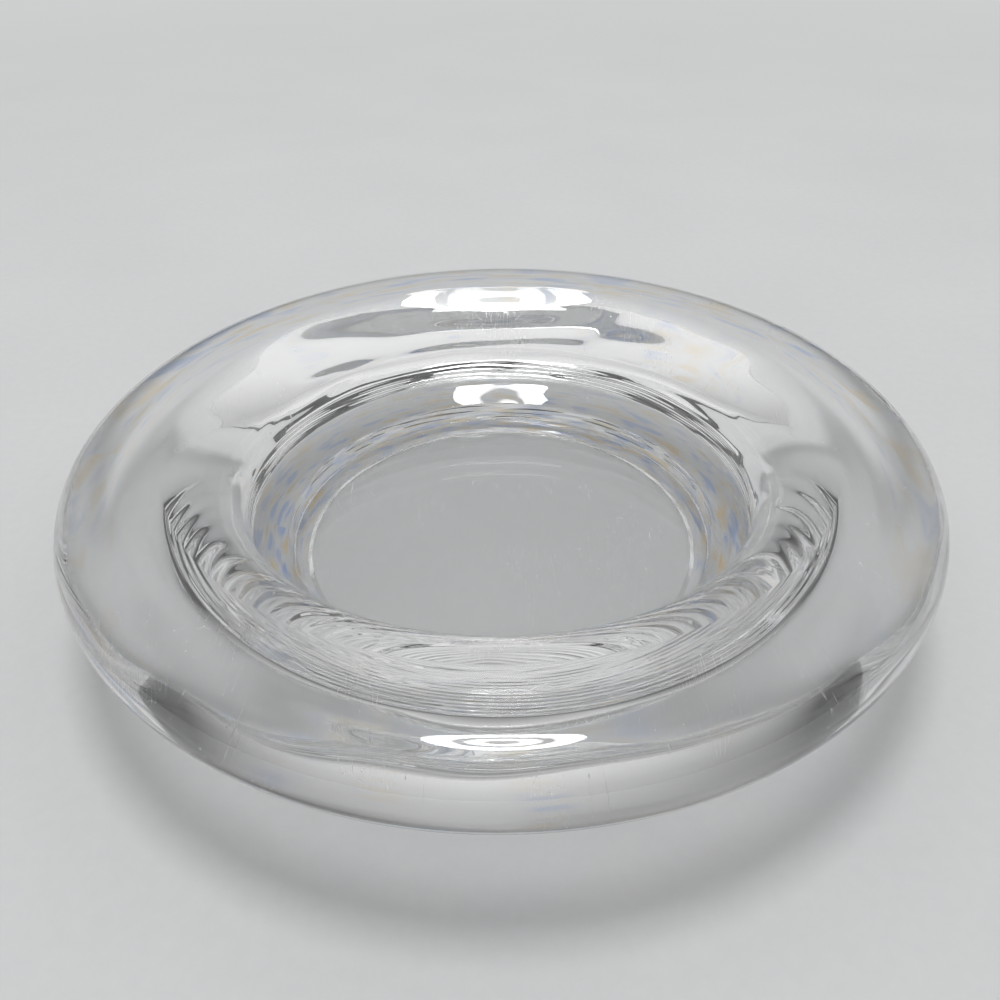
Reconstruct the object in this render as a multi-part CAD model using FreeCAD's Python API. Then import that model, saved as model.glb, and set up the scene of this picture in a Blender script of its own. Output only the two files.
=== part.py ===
import FreeCAD, Part
import os
from math import acos, cos, radians, sin, tan

# Floating candle bowl: one piece of clear glass, turned about the vertical axis.
# The origin is the middle of the base, on the surface that the bowl stands on, with Z up.
# Lengths are in millimetres and slopes in degrees. A width is measured across, from or towards the axis.

# Rim
outer_radius = 125.0
rim_width = 49.6
shoulder_round = 20.0
crown_round = 22.0
crown_turn = 21.5
lip_upper_round = 11.5
lip_lower_round = 12.8
under_rim_slope = 3.0

# Well, from the shoulder down to the floor
well_wall_height = 7.9
ledge_width = 10.0
ledge_fall = 4.7
step_lean = 0.9
step_height = 6.1
floor_thickness = 6.7

# Recess in the base
recess_inset = 5.0
recess_depth = 0.8
recess_bevel_width = 1.4

# Outside of the cup
foot_overhang = 9.0
foot_round = 8.5
cup_flare = 24.5
under_rim_round = 6.5

# Heights add up from the base
floor_height = recess_depth + floor_thickness
ledge_inner_height = floor_height + step_height
ledge_outer_height = ledge_inner_height + ledge_fall
rim_height = ledge_outer_height + well_wall_height + shoulder_round

# Radii come inwards from the outside of the rim
throat_radius = outer_radius - rim_width
ledge_inner_radius = throat_radius - ledge_width
floor_radius = ledge_inner_radius - step_lean
recess_radius = floor_radius - recess_inset
foot_radius = floor_radius + foot_overhang
cup_top_radius = foot_radius + cup_flare

# The crown curves down from the level top to the lip, whose upper and lower rounds meet at its widest level
crown_end_radius = outer_radius - lip_upper_round * (1 - sin(radians(crown_turn)))
crown_start_radius = crown_end_radius - crown_round * sin(radians(crown_turn))
crown_end_height = rim_height - crown_round * (1 - cos(radians(crown_turn)))
lip_level = crown_end_height - lip_upper_round * cos(radians(crown_turn))

# The lower round runs on at a tangent into the gently sloping underside of the rim
lip_low_radius = outer_radius - lip_lower_round * (1 - sin(radians(under_rim_slope)))
lip_low_height = lip_level - lip_lower_round * cos(radians(under_rim_slope))
cup_top_height = lip_low_height - (lip_low_radius - cup_top_radius) * tan(radians(under_rim_slope))


def point(radius, height):
    """A point of the section, in the plane through the axis."""
    return FreeCAD.Vector(radius, 0, height)


def rounded_edges(start, corners, end):
    """Lines from start to end by way of the corners, each rounded with its own radius, or sharp at zero."""
    edges = []
    last = start
    places = [start] + [place for place, radius in corners] + [end]
    for index, (place, radius) in enumerate(corners):
        back = (places[index] - place).normalize()
        ahead = (places[index + 2] - place).normalize()
        half_angle = acos(back.dot(ahead)) / 2
        reach = radius / tan(half_angle)
        first = place + back * reach
        edges.append(Part.LineSegment(last, first).toShape())
        last = place + ahead * reach
        if radius > 0:
            middle_way = (back + ahead).normalize()
            centre = place + middle_way * (reach ** 2 + radius ** 2) ** 0.5
            edges.append(Part.Arc(first, centre - middle_way * radius, last).toShape())
    edges.append(Part.LineSegment(last, end).toShape())
    return edges


def underside_edges():
    """From the middle of the base, over the foot, up the cup and along under the rim, to the lip."""
    corners = [
        (point(recess_radius, recess_depth), 0),
        (point(recess_radius + recess_bevel_width, 0), 0),
        (point(foot_radius, 0), foot_round),
        (point(cup_top_radius, cup_top_height), under_rim_round),
    ]
    return rounded_edges(point(0, recess_depth), corners, point(lip_low_radius, lip_low_height))


def arc_edge(centre, radius, start, end):
    """An arc about the centre. Its start and end angles are in degrees, from level outwards up to the crown."""
    places = []
    for angle in (start, (start + end) / 2, end):
        places.append(centre + point(radius * cos(radians(angle)), radius * sin(radians(angle))))
    return Part.Arc(*places).toShape()


def lip_edges():
    """Three tangent arcs round the outside of the rim: the lower round, the upper round and the crown."""
    top = 90
    lower = arc_edge(point(outer_radius - lip_lower_round, lip_level), lip_lower_round, under_rim_slope - top, 0)
    upper = arc_edge(point(outer_radius - lip_upper_round, lip_level), lip_upper_round, 0, top - crown_turn)
    crown = arc_edge(point(crown_start_radius, rim_height - crown_round), crown_round, top - crown_turn, top)
    return [lower, upper, crown]


def topside_edges():
    """From the upper side of the lip, over the shoulder and down the well, to the middle of its floor."""
    corners = [
        (point(throat_radius, rim_height), shoulder_round),
        (point(throat_radius, ledge_outer_height), 0),
        (point(ledge_inner_radius, ledge_inner_height), 0),
        (point(floor_radius, floor_height), 0),
    ]
    return rounded_edges(point(crown_start_radius, rim_height), corners, point(0, floor_height))


def bowl():
    """The section of the glass turned once about the axis."""
    axis_edge = Part.LineSegment(point(0, floor_height), point(0, recess_depth)).toShape()
    edges = underside_edges() + lip_edges() + topside_edges() + [axis_edge]
    section = Part.Face(Part.Wire(edges))
    return section.revolve(FreeCAD.Vector(0, 0, 0), FreeCAD.Vector(0, 0, 1), 360)


os.makedirs("parts", exist_ok=True)
bowl().exportStep("parts/bowl.step")
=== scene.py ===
import bpy
import numpy as np
from mathutils import Matrix, Vector


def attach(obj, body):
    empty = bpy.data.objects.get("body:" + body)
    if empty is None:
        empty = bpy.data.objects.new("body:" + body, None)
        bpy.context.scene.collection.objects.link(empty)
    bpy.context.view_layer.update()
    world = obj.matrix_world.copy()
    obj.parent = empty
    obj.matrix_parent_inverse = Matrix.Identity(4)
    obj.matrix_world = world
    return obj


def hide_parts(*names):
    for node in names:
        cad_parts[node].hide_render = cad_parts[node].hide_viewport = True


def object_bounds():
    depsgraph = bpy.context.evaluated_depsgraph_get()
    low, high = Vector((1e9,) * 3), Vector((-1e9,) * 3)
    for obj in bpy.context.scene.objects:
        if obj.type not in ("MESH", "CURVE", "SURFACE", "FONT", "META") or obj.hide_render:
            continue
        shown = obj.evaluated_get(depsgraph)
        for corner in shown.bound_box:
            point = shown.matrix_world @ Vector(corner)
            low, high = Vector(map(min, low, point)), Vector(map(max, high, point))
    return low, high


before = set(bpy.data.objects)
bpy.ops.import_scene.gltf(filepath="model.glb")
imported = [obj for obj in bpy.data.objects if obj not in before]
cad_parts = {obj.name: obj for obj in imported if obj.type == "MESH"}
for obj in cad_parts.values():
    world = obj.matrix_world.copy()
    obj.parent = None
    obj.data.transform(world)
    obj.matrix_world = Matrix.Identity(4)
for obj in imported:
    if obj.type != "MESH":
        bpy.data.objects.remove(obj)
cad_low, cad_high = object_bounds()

# Floating candle bowl of clear glass. Lengths are in metres, with Z up and the base at zero.
MM = 0.001
TURN = 2 * np.pi
QUARTER = TURN / 4

# Sizes of the glass, from the axis outwards and from the base upwards
OUTER_RADIUS = min(cad_high.x, cad_high.y) - 0.02 * MM
RIM_WIDTH = 49.6 * MM
RIM_HEIGHT = 46.2 * MM
CROWN_ROUND = 22.0 * MM
CROWN_TURN = np.radians(21.5)
LIP_UPPER_ROUND = 11.5 * MM
LIP_LOWER_ROUND = 12.8 * MM
UNDER_RIM_SLOPE = np.radians(3.0)
SHOULDER_ROUND = 20.0 * MM
LEDGE_OUTER_HEIGHT = 18.3 * MM
LEDGE_WIDTH = 10.0 * MM
LEDGE_INNER_HEIGHT = 13.6 * MM
STEP_LEAN = 0.9 * MM
FLOOR_HEIGHT = 7.5 * MM
RECESS_INSET = 5.0 * MM
RECESS_DEPTH = 0.8 * MM
RECESS_BEVEL = 1.4 * MM
FOOT_OVERHANG = 9.0 * MM
FOOT_ROUND = 8.5 * MM
CUP_FLARE = 24.5 * MM
UNDER_RIM_ROUND = 6.5 * MM

THROAT = OUTER_RADIUS - RIM_WIDTH
LEDGE_INNER = THROAT - LEDGE_WIDTH
FLOOR_RADIUS = LEDGE_INNER - STEP_LEAN
RECESS_RADIUS = FLOOR_RADIUS - RECESS_INSET
FOOT_RADIUS = FLOOR_RADIUS + FOOT_OVERHANG
CUP_TOP = FOOT_RADIUS + CUP_FLARE
CROWN_END = OUTER_RADIUS - LIP_UPPER_ROUND * (1 - np.sin(CROWN_TURN))
CROWN_START = CROWN_END - CROWN_ROUND * np.sin(CROWN_TURN)
LIP_LEVEL = RIM_HEIGHT - CROWN_ROUND * (1 - np.cos(CROWN_TURN)) - LIP_UPPER_ROUND * np.cos(CROWN_TURN)
LIP_LOW = OUTER_RADIUS - LIP_LOWER_ROUND * (1 - np.sin(UNDER_RIM_SLOPE))
LIP_LOW_HEIGHT = LIP_LEVEL - LIP_LOWER_ROUND * np.cos(UNDER_RIM_SLOPE)
CUP_TOP_HEIGHT = LIP_LOW_HEIGHT - (LIP_LOW - CUP_TOP) * np.tan(UNDER_RIM_SLOPE)

# Small rounds of the corners that the mould leaves crisp, from the base up and from the throat down
BASE_EDGE_ROUND = 0.5 * MM
LEDGE_OUTER_ROUND = 0.8 * MM
LEDGE_INNER_ROUND = 0.7 * MM
FLOOR_EDGE_ROUND = 0.6 * MM

# How high each kind of unevenness stands on the skin, and its pitch along the section
FINE_RIPPLE = 0.040 * MM
FINE_RIPPLE_PITCH = 1.9 * MM
COARSE_RIPPLE = 0.018 * MM
COARSE_RIPPLE_PITCH = 4.6 * MM
LAP = 0.055 * MM
LAP_PITCH = 9.0 * MM
TOP_WAVE = 0.005 * MM
TOP_WAVE_PITCH = 15.0 * MM
WELL_WAVE = 0.014 * MM
WELL_WAVE_PITCH = 4.5 * MM
POLISH_DEPTH = 0.08 * MM

# The stretch of radius of each kind: its start, the width over which it eases in, its end, and the width over
# which it eases out
CUP_STRETCH = (FOOT_RADIUS + 2.5 * MM, 2 * MM, CUP_TOP, 3 * MM)
UNDER_RIM_STRETCH = (CUP_TOP - 3 * MM, 3 * MM, OUTER_RADIUS - 0.3 * MM, 7 * MM)
TOP_STRETCH = (10 * MM, 6 * MM, OUTER_RADIUS, 4 * MM)
WELL_STRETCH = (FLOOR_RADIUS - 2 * MM, 2 * MM, THROAT + 4 * MM, 3 * MM)

# Colours of the glass, its painted prism fringes (warm and cool painted light), its dust and the floor
CLEAR = (0.982, 0.990, 0.988, 1)
PAINTED_COOL_FRINGE = (0.34, 0.52, 1.0, 1)
PAINTED_WARM_FRINGE = (1.0, 0.72, 0.32, 1)
DUST = (0.62, 0.63, 0.64, 1)
CARD_DARK = (0.62, 0.625, 0.63, 1)
CARD_LIGHT = (0.66, 0.665, 0.67, 1)

# Points round the axis
AROUND = 360

# Studio. A tone is a height above the horizon, or a distance from the middle of the lamp, and its grey.
FLOOR_HALF = 6.0
FLOOR_DROP = 0.2 * MM
BLEND_START = 0.45
BLEND_END = 1.2
SKY_TONES = ((0.0, 0.05), (0.30, 0.14), (0.55, 0.55), (0.75, 0.92), (1.0, 1.0))
SKY_STRENGTH = 0.88
BACKDROP = (0.70, 0.705, 0.71, 1)
LAMP_DISTANCE = 2.2
LAMP_ELEVATION = np.radians(96.5)
LAMP_HALF_ANGLE = np.radians(8.9)
LAMP_POWER = 22
LAMP_RINGS = ((0.10, 0.10), (0.13, 1.0), (0.22, 1.0), (0.25, 0.06), (0.30, 0.06), (0.33, 1.0))

# Camera. The horizon lies above the middle of the picture, which is 1000 pixels wide.
PICTURE_PIXELS = 1000
FOCAL_PIXELS = 915
HORIZON_PIXELS = 682.8
SENSOR_WIDTH = 36
CAMERA_PLACE = Vector((-0.25, -228.1, 188.0)) * MM
CAMERA_PITCH = np.arctan(HORIZON_PIXELS / FOCAL_PIXELS)
CAMERA_ROLL = np.radians(0.6)
NEAREST_SEEN = 10 * MM
BOUNCES = 24


def arc(centre, radius, start, end, steps):
    """Points centre + radius (cos a, sin a) with the angle a in even steps, the first one left out."""
    a = np.linspace(start, end, steps + 1)[1:]
    way = np.sign(end - start)
    places = [centre[0] + radius * np.cos(a), centre[1] + radius * np.sin(a)]
    return np.stack([*places, -way * np.sin(a), way * np.cos(a)], 1)


def rounded_path(places, rounds, steps, arc_steps):
    """Points and directions along straight runs whose corners are rounded, as rows (r, z, dr, dz).

    A run is divided evenly into its steps, start + t (end - start). A corner of radius q turns from the
    one direction to the other as centre + q (cos a, sin a), with the angle a in even steps.
    """
    places = np.array(places, float)
    rows = []
    last = places[0]
    for i in range(1, len(places)):
        here = places[i]
        back = (last - here) / np.linalg.norm(last - here)
        first, turn = here, None
        if i < len(places) - 1:
            ahead = (places[i + 1] - here) / np.linalg.norm(places[i + 1] - here)
            reach = rounds[i - 1] / np.tan(np.arccos(np.clip(back @ ahead, -1, 1)) / 2)
            middle = (back + ahead) / np.linalg.norm(back + ahead)
            centre = here + middle * np.hypot(reach, rounds[i - 1])
            first, onward = here + back * reach, here + ahead * reach
            start, end = np.arctan2(*(first - centre)[::-1]), np.arctan2(*(onward - centre)[::-1])
            turn = (end - start + np.pi) % TURN - np.pi
        t = np.linspace(0, 1, steps[i - 1] + 1)[0 if i == 1 else 1:, None]
        rows.append(np.hstack([last + t * (first - last), -back + 0 * t]))
        if turn is not None:
            rows.append(arc(centre, rounds[i - 1], start, start + turn, arc_steps[i - 1]))
            last = onward
    return np.concatenate(rows)


def glass_section():
    """The outline of the glass from the middle of the base, round the outside, to the middle of the floor."""
    under = rounded_path(
        [
            (0, RECESS_DEPTH),
            (RECESS_RADIUS, RECESS_DEPTH),
            (RECESS_RADIUS + RECESS_BEVEL, 0),
            (FOOT_RADIUS, 0),
            (CUP_TOP, CUP_TOP_HEIGHT),
            (LIP_LOW, LIP_LOW_HEIGHT),
        ],
        [BASE_EDGE_ROUND, BASE_EDGE_ROUND, FOOT_ROUND, UNDER_RIM_ROUND],
        [3, 2, 3, 96, 34],
        [2, 2, 12, 6],
    )
    lower_centre = (OUTER_RADIUS - LIP_LOWER_ROUND, LIP_LEVEL)
    lower = arc(lower_centre, LIP_LOWER_ROUND, UNDER_RIM_SLOPE - QUARTER, 0, 20)
    crown_foot = QUARTER - CROWN_TURN
    upper = arc((OUTER_RADIUS - LIP_UPPER_ROUND, LIP_LEVEL), LIP_UPPER_ROUND, 0, crown_foot, 14)
    crown = arc((CROWN_START, RIM_HEIGHT - CROWN_ROUND), CROWN_ROUND, crown_foot, QUARTER, 6)
    top = rounded_path(
        [
            (CROWN_START, RIM_HEIGHT),
            (THROAT, RIM_HEIGHT),
            (THROAT, LEDGE_OUTER_HEIGHT),
            (LEDGE_INNER, LEDGE_INNER_HEIGHT),
            (FLOOR_RADIUS, FLOOR_HEIGHT),
            (0, FLOOR_HEIGHT),
        ],
        [SHOULDER_ROUND, LEDGE_OUTER_ROUND, LEDGE_INNER_ROUND, FLOOR_EDGE_ROUND],
        [4, 4, 4, 3, 4],
        [22, 4, 4, 4],
    )
    return np.concatenate([under, lower, upper, crown, top[1:]])


def grain(rng, s, angle, count, pitch, spread, turns):
    """Ripples of about one pitch along the section, broken up round the axis, with a mean square of one.

    The sum of cos(2 pi s / p + m a + f), with p near the pitch by the share called spread, m a random whole
    number about zero whose usual size is turns, and f a random phase.
    """
    field = np.zeros(np.broadcast(s, angle).shape)
    for _ in range(count):
        length = pitch * (1 + spread * rng.normal())
        whole_turns = np.round(turns * rng.normal())
        field += np.cos(TURN * s / length + whole_turns * angle + rng.uniform(0, TURN))
    return field * np.sqrt(2 / count)


def bump_over(x, start, rise, end, fall):
    """One between start and end, easing in over rise and out over fall: a product of two smooth steps."""
    up = np.clip((x - start) / rise, 0, 1)
    down = np.clip((end - x) / fall, 0, 1)
    return up * up * (3 - 2 * up) * down * down * (3 - 2 * down)


def unevenness(section, along, angle):
    """How far the skin of the glass stands out from its section, on the grid of rings and angles.

    It is a sum of grains, each held to its own stretch of the section. Underneath there are ripples on the
    cup and broad laps under the rim, where pressed glass has chilled, and the round of the foot is smooth.
    The upper side is smoother, and only ever hollow, so that it stays inside the bowl's size.
    """
    rng = np.random.default_rng(11)
    s, radius = along[:, None], section[:, :1]
    underside = np.arange(len(section))[:, None] < np.argmax(section[:, 0])
    cup = underside * bump_over(radius, *CUP_STRETCH)
    under_rim = underside * bump_over(radius, *UNDER_RIM_STRETCH)
    top = ~underside * bump_over(radius, *TOP_STRETCH)
    well = bump_over(radius, *WELL_STRETCH)
    ripples = FINE_RIPPLE * grain(rng, s, angle, count=30, pitch=FINE_RIPPLE_PITCH, spread=0.10, turns=7)
    ripples += COARSE_RIPPLE * grain(rng, s, angle, count=20, pitch=COARSE_RIPPLE_PITCH, spread=0.20, turns=6)
    laps = LAP * grain(rng, s, angle, count=16, pitch=LAP_PITCH, spread=0.25, turns=7)
    waves = TOP_WAVE * grain(rng, s, angle, count=16, pitch=TOP_WAVE_PITCH, spread=0.25, turns=6)
    waves += WELL_WAVE * well * grain(rng, s, angle, count=20, pitch=WELL_WAVE_PITCH, spread=0.25, turns=14)
    return cup * ripples + under_rim * laps + top * (waves - waves.max())


def glass_mesh():
    """The section turned about the axis, with its unevenness h.

    A point is (r cos a, r sin a, z) plus h times the section's own normal. The surface normal is the
    section's normal, less dh/ds along the section and less (dh/da) / r round the axis.
    """
    section = glass_section()
    r, z, along_r, along_z = section.T[:, :, None]
    along = np.concatenate([[0], np.cumsum(np.hypot(*np.diff(section[:, :2], axis=0).T))])
    angle = (np.arange(AROUND) * TURN / AROUND)[None]
    h = unevenness(section, along, angle)
    h_along = np.gradient(h, along, axis=0)
    h_around = (np.roll(h, -1, 1) - np.roll(h, 1, 1)) / (2 * TURN / AROUND * np.maximum(r, MM))
    out, up = along_z - h_along * along_r, -along_r - h_along * along_z
    cosine, sine = np.cos(angle), np.sin(angle)
    skin_r, skin_z = r + along_z * h, z - along_r * h
    points = np.stack([skin_r * cosine, skin_r * sine, skin_z], 2)
    normals = np.stack([out * cosine + h_around * sine, out * sine - h_around * cosine, up], 2)

    # the first and last rings lie on the axis, so each is one point there, closed by a fan of triangles
    points = np.concatenate([[[0, 0, z[0, 0]]], points[1:-1].reshape(-1, 3), [[0, 0, z[-1, 0]]]])
    normals = np.concatenate([[[0, 0, -1]], normals[1:-1].reshape(-1, 3), [[0, 0, 1]]])
    normals /= np.linalg.norm(normals, axis=1)[:, None]
    here = np.arange(AROUND)
    beside = (here + 1) % AROUND
    rows = 1 + AROUND * np.arange(len(section) - 3)[:, None]
    last = 1 + AROUND * (len(section) - 3)
    quads = np.stack([rows + here, rows + beside, rows + AROUND + beside, rows + AROUND + here], 2)
    base = np.stack([0 * here, 1 + beside, 1 + here], 1)
    floor = np.stack([last + here, last + beside, 0 * here + len(points) - 1], 1)
    mesh = bpy.data.meshes.new("glass_bowl")
    mesh.from_pydata(points.tolist(), [], quads.reshape(-1, 4).tolist() + base.tolist() + floor.tolist())
    mesh.shade_smooth()
    mesh.update()
    mesh.normals_split_custom_set_from_vertices(normals.tolist())
    return mesh


class Number:
    """A number inside a material. Sums and products of it, also with plain numbers, make its Math nodes."""

    def __init__(self, shader, socket):
        self.shader, self.socket = shader, socket

    def math(self, operation, *others):
        return self.shader.math(operation, self, *others)

    def __add__(self, other):
        return self.math("ADD", other)

    def __mul__(self, other):
        return self.math("MULTIPLY", other)

    def __sub__(self, other):
        return self.math("SUBTRACT", other)

    def __rsub__(self, other):
        return self.shader.math("SUBTRACT", other, self)

    __radd__, __rmul__ = __add__, __mul__


class Wiring:
    """The nodes of one material, lamp or sky, and the links between them."""

    def __init__(self, owner):
        owner.use_nodes = True
        self.nodes, self.links = owner.node_tree.nodes, owner.node_tree.links

    def feed(self, socket, value):
        """Link a socket to a value from another node, or set it to a plain one."""
        if isinstance(value, Number):
            value = value.socket
        if isinstance(value, bpy.types.NodeSocket):
            self.links.new(value, socket)
        else:
            socket.default_value = value

    def node(self, kind, settings, values):
        """A node of one kind, with its settings made first and its sockets then set or linked.

        The stops of a ramp of greys are a setting too, each as its position and its grey.
        """
        made = self.nodes.new("ShaderNode" + kind)
        for name, value in settings.items():
            if name == "stops":
                self.set_greys(made.color_ramp.elements, value)
            else:
                setattr(made, name, value)
        for name, value in values.items():
            self.feed(made.inputs[name], value)
        return made

    def set_greys(self, elements, stops):
        """Give a new ramp, which has two elements, these stops in place of its own."""
        elements.remove(elements[1])
        elements[0].position = stops[0][0]
        for position, grey in stops[1:]:
            elements.new(position)
        for element, (position, grey) in zip(elements, stops):
            element.color = (grey, grey, grey, 1)

    def mix(self, amount, first, second):
        """A colour from the first to the second, which are the Mix node's inputs 6 and 7 and its output 2."""
        values = {0: amount, 6: first, 7: second}
        return self.node("Mix", {"data_type": "RGBA"}, values).outputs[2]


class Shader(Wiring):
    """The nodes of one material, which end in its Principled shader."""

    def __init__(self, name, constants):
        self.material = bpy.data.materials.new(name)
        super().__init__(self.material)
        self.surface = self.nodes["Principled BSDF"].inputs
        for socket, value in constants.items():
            self.feed(self.surface[socket], value)
        self.place = self.node("TexCoord", {}, {}).outputs["Object"]
        split = self.node("SeparateXYZ", {}, {"Vector": self.place}).outputs
        self.x, self.y, self.z = (Number(self, split[axis]) for axis in "XYZ")
        self.radius = (self.x * self.x + self.y * self.y).math("SQRT")

    def math(self, operation, *values):
        sockets = dict(enumerate(values))
        return Number(self, self.node("Math", {"operation": operation}, sockets).outputs[0])

    def stretched(self, x, y, z):
        """The place on the object times a factor along each axis, in turns of a texture to the metre."""
        values = {0: self.place, 1: (x, y, z)}
        return self.node("VectorMath", {"operation": "MULTIPLY"}, values).outputs[0]

    def noise(self, place, scale, detail, roughness):
        values = {"Vector": place, "Scale": scale, "Detail": detail, "Roughness": roughness}
        return Number(self, self.node("TexNoise", {}, values).outputs["Fac"])

    def specks(self, place, scale, size):
        """Round specks: one inside this distance of a cell's middle, easing to zero at its edge."""
        values = {"Vector": place, "Scale": scale, "Randomness": 1.0}
        distance = Number(self, self.node("TexVoronoi", {}, values).outputs["Distance"])
        return self.fade(distance, size, size * 0.5)

    def fade(self, value, low, high):
        """Zero at low and one at high, held to that range, also where high is below low."""
        values = {"Value": value, "From Min": low, "From Max": high}
        return Number(self, self.node("MapRange", {"clamp": True}, values).outputs["Result"])

    def bump(self, height, distance):
        values = {"Height": height, "Distance": distance, "Strength": 1.0}
        self.feed(self.surface["Normal"], self.node("Bump", {}, values).outputs["Normal"])


def glass_material():
    """Clear crystal: hairline scratches and specks of dust on the skin, and faint painted prism fringes, warm
    and cool colour in the base colour that stands in for light split by the glass.
    """
    shader = Shader("clear_crystal", {"Transmission Weight": 1.0, "IOR": 1.54, "Roughness": 0.0})

    # scratches are thin lines where a noise drawn out one way crosses its middle value, inside patches
    patches = shader.fade(shader.noise(shader.place, scale=38, detail=1, roughness=0.5), 0.52, 0.60)
    drawn = shader.noise(shader.stretched(900, 70, 300), scale=1, detail=0, roughness=0.5)
    scratches = shader.fade((drawn - 0.5).math("ABSOLUTE"), 0.008, 0.001) * patches
    dust = shader.specks(shader.place, scale=210, size=0.07) * patches
    marks = (scratches * 0.7 + dust).math("MINIMUM", 1.0)
    shader.feed(shader.surface["Roughness"], marks * 0.5)

    # painted prism fringes: streaks of warm and cool colour painted into the base colour on the lip, the foot
    # and the lower wall of the cup, standing in for light split by the glass
    low_lip = shader.fade(shader.radius, OUTER_RADIUS - 17 * MM, OUTER_RADIUS - 5 * MM)
    low_lip = low_lip * shader.fade(shader.z, LIP_LEVEL, LIP_LEVEL - 10 * MM)
    foot = shader.fade(shader.radius, RECESS_RADIUS, RECESS_RADIUS + 6 * MM)
    foot = foot * shader.fade(shader.z, LEDGE_INNER_HEIGHT, 2 * MM)
    upper_lip = shader.fade(shader.radius, OUTER_RADIUS - 12 * MM, OUTER_RADIUS - 5 * MM) * patches
    upper_lip = upper_lip * shader.fade(shader.z, RIM_HEIGHT, LIP_LEVEL + 4 * MM)
    # how strongly the painted prism fringes show at each place
    painted_fringe_zone = (low_lip * 0.7).math("MAXIMUM", upper_lip * 0.45) + foot * 0.8
    around = shader.math("ARCTAN2", shader.y, shader.x)
    unrolled = {"X": shader.radius * 560, "Y": around * 5.5, "Z": shader.z * 560}
    unrolled_place = shader.node("CombineXYZ", {}, unrolled).outputs[0]
    # a pattern that sets where the painted light is cool and where it is warm
    painted_fringe_bands = shader.noise(unrolled_place, scale=1, detail=1, roughness=0.5)
    colour = shader.mix(shader.fade(painted_fringe_bands, 0.55, 0.66) * painted_fringe_zone, CLEAR, PAINTED_COOL_FRINGE)
    colour = shader.mix(shader.fade(painted_fringe_bands, 0.44, 0.33) * painted_fringe_zone, colour, PAINTED_WARM_FRINGE)
    colour = shader.mix(marks * 0.6, colour, DUST)
    shader.feed(shader.surface["Base Color"], colour)

    # the fire-polished skin is not quite even
    shader.bump(shader.noise(shader.place, scale=34, detail=1, roughness=0.45), POLISH_DEPTH)
    return shader.material


def floor_material():
    """Matt pale card with a barely seen unevenness of tone.

    Seen straight, it runs into the tone of the backdrop on its way from the bowl.
    """
    shader = Shader("studio_floor", {"Roughness": 0.9, "Specular IOR Level": 0.2})
    broad = shader.noise(shader.place, scale=9, detail=3, roughness=0.5)
    fine = shader.noise(shader.place, scale=260, detail=2, roughness=0.6)
    colour = shader.mix(shader.fade(broad * 0.6 + fine * 0.4, 0.3, 0.7), CARD_DARK, CARD_LIGHT)
    shader.feed(shader.surface["Base Color"], colour)
    card = shader.nodes["Principled BSDF"].outputs[0]
    backdrop = shader.node("Emission", {}, {"Color": BACKDROP, "Strength": SKY_STRENGTH}).outputs[0]
    seen_straight = shader.node("LightPath", {}, {}).outputs["Is Camera Ray"]
    away = shader.fade(shader.radius, BLEND_START, BLEND_END) * seen_straight
    blend = shader.node("MixShader", {}, {0: away, 1: card, 2: backdrop}).outputs[0]
    shader.feed(shader.nodes["Material Output"].inputs["Surface"], blend)
    return shader.material


def placed(name, data):
    """A new object in the scene."""
    made = bpy.data.objects.new(name, data)
    bpy.context.scene.collection.objects.link(made)
    return made


def glass_bowl():
    """The whole bowl, which is one piece of glass."""
    piece = placed("glass_bowl", glass_mesh())
    piece.data.materials.append(glass_material())
    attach(piece, "root")
    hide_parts("bowl")


def studio_floor():
    """A wide level sheet, a hair below the base."""
    half, height = FLOOR_HALF, -FLOOR_DROP
    corners = [(-half, -half, height), (half, -half, height), (half, half, height), (-half, half, height)]
    mesh = bpy.data.meshes.new("floor")
    mesh.from_pydata(corners, [], [(0, 1, 2, 3)])
    mesh.materials.append(floor_material())
    placed("floor", mesh)


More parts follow.
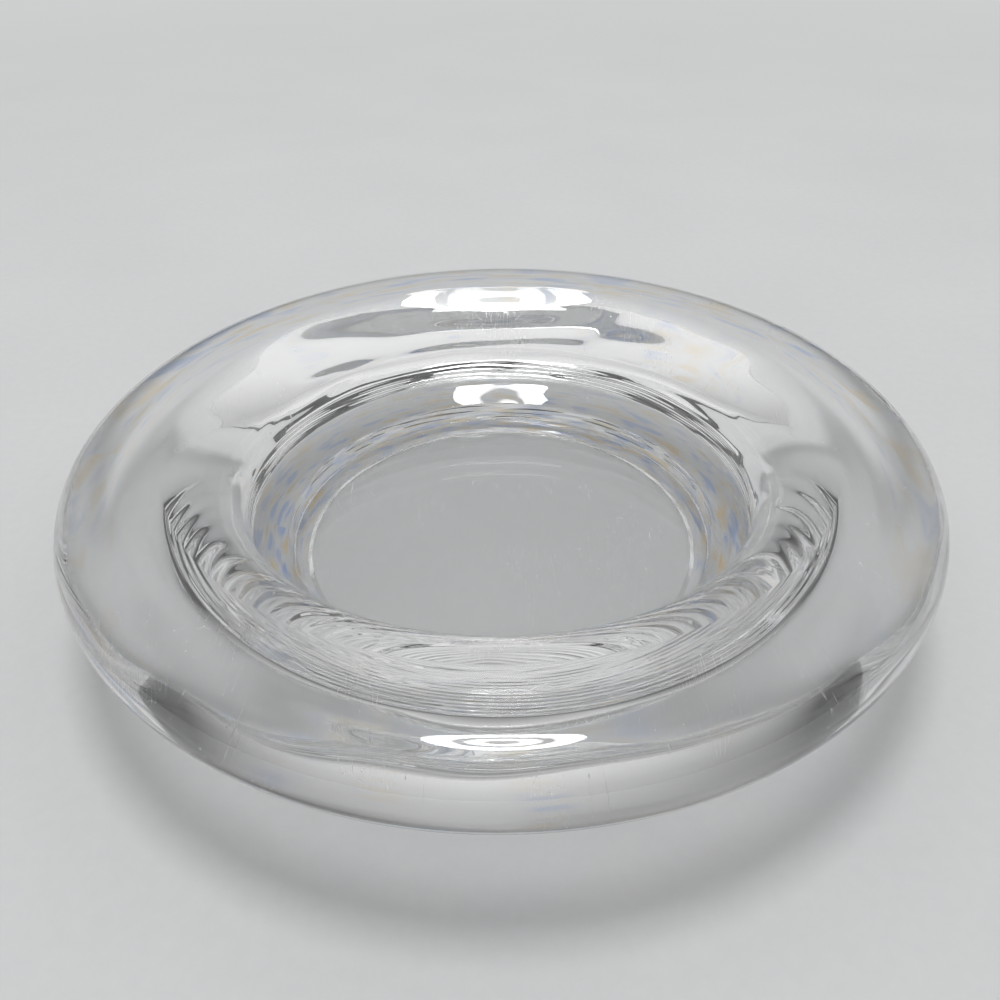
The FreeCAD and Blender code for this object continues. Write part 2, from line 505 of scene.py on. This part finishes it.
def studio_sky():
    """A sky that is bright overhead and dark at the horizon, which draws the edges of the glass.

    Behind the bowl, where the camera sees it straight, it has the tone of the floor.
    """
    world = bpy.data.worlds.new("studio")
    bpy.context.scene.world = world
    sky = Wiring(world)
    direction = sky.node("TexCoord", {}, {}).outputs["Generated"]
    height = sky.node("SeparateXYZ", {}, {"Vector": direction}).outputs["Z"]
    tones = sky.node("ValToRGB", {"stops": SKY_TONES}, {"Fac": height}).outputs["Color"]
    seen_straight = sky.node("LightPath", {}, {}).outputs["Is Camera Ray"]
    light = sky.nodes["Background"].inputs
    sky.feed(light["Color"], sky.mix(seen_straight, tones, BACKDROP))
    sky.feed(light["Strength"], SKY_STRENGTH)


def ring_lamp():
    """A round lamp nearly overhead, a little behind the bowl, whose face is a bright ring round another."""
    lamp = bpy.data.lights.new("ring_lamp", "AREA")
    lamp.shape = "DISK"
    lamp.size = 2 * LAMP_DISTANCE * np.tan(LAMP_HALF_ANGLE)
    lamp.energy = LAMP_POWER
    face = Wiring(lamp)
    across = face.node("NewGeometry", {}, {}).outputs["Parametric"]
    middle = (0.5, 0.5, 0)
    offset = face.node("VectorMath", {"operation": "DISTANCE"}, {0: across, 1: middle}).outputs["Value"]
    rings = face.node("ValToRGB", {"stops": LAMP_RINGS}, {"Fac": offset}).outputs["Color"]
    face.feed(face.nodes["Emission"].inputs["Color"], rings)
    place = Vector((0, -np.cos(LAMP_ELEVATION), np.sin(LAMP_ELEVATION))) * LAMP_DISTANCE
    holder = placed("ring_lamp", lamp)
    holder.location = place
    holder.rotation_euler = (-place).to_track_quat("-Z", "Y").to_euler()


def camera():
    """The camera looks down from in front of the near rim, a little rolled."""
    lens = bpy.data.cameras.new("camera")
    lens.sensor_width = SENSOR_WIDTH
    lens.lens = SENSOR_WIDTH * FOCAL_PIXELS / PICTURE_PIXELS
    lens.clip_start = NEAREST_SEEN
    holder = placed("camera", lens)
    pitched = Matrix.Rotation(QUARTER - CAMERA_PITCH, 4, "X")
    rolled = Matrix.Rotation(-CAMERA_ROLL, 4, "Z")
    holder.matrix_world = Matrix.Translation(CAMERA_PLACE) @ pitched @ rolled
    bpy.context.scene.camera = holder


glass_bowl()
studio_floor()
studio_sky()
ring_lamp()
camera()

scene = bpy.context.scene
scene.view_settings.view_transform = "Standard"
scene.cycles.max_bounces = BOUNCES
scene.cycles.transmission_bounces = BOUNCES
scene.cycles.glossy_bounces = BOUNCES
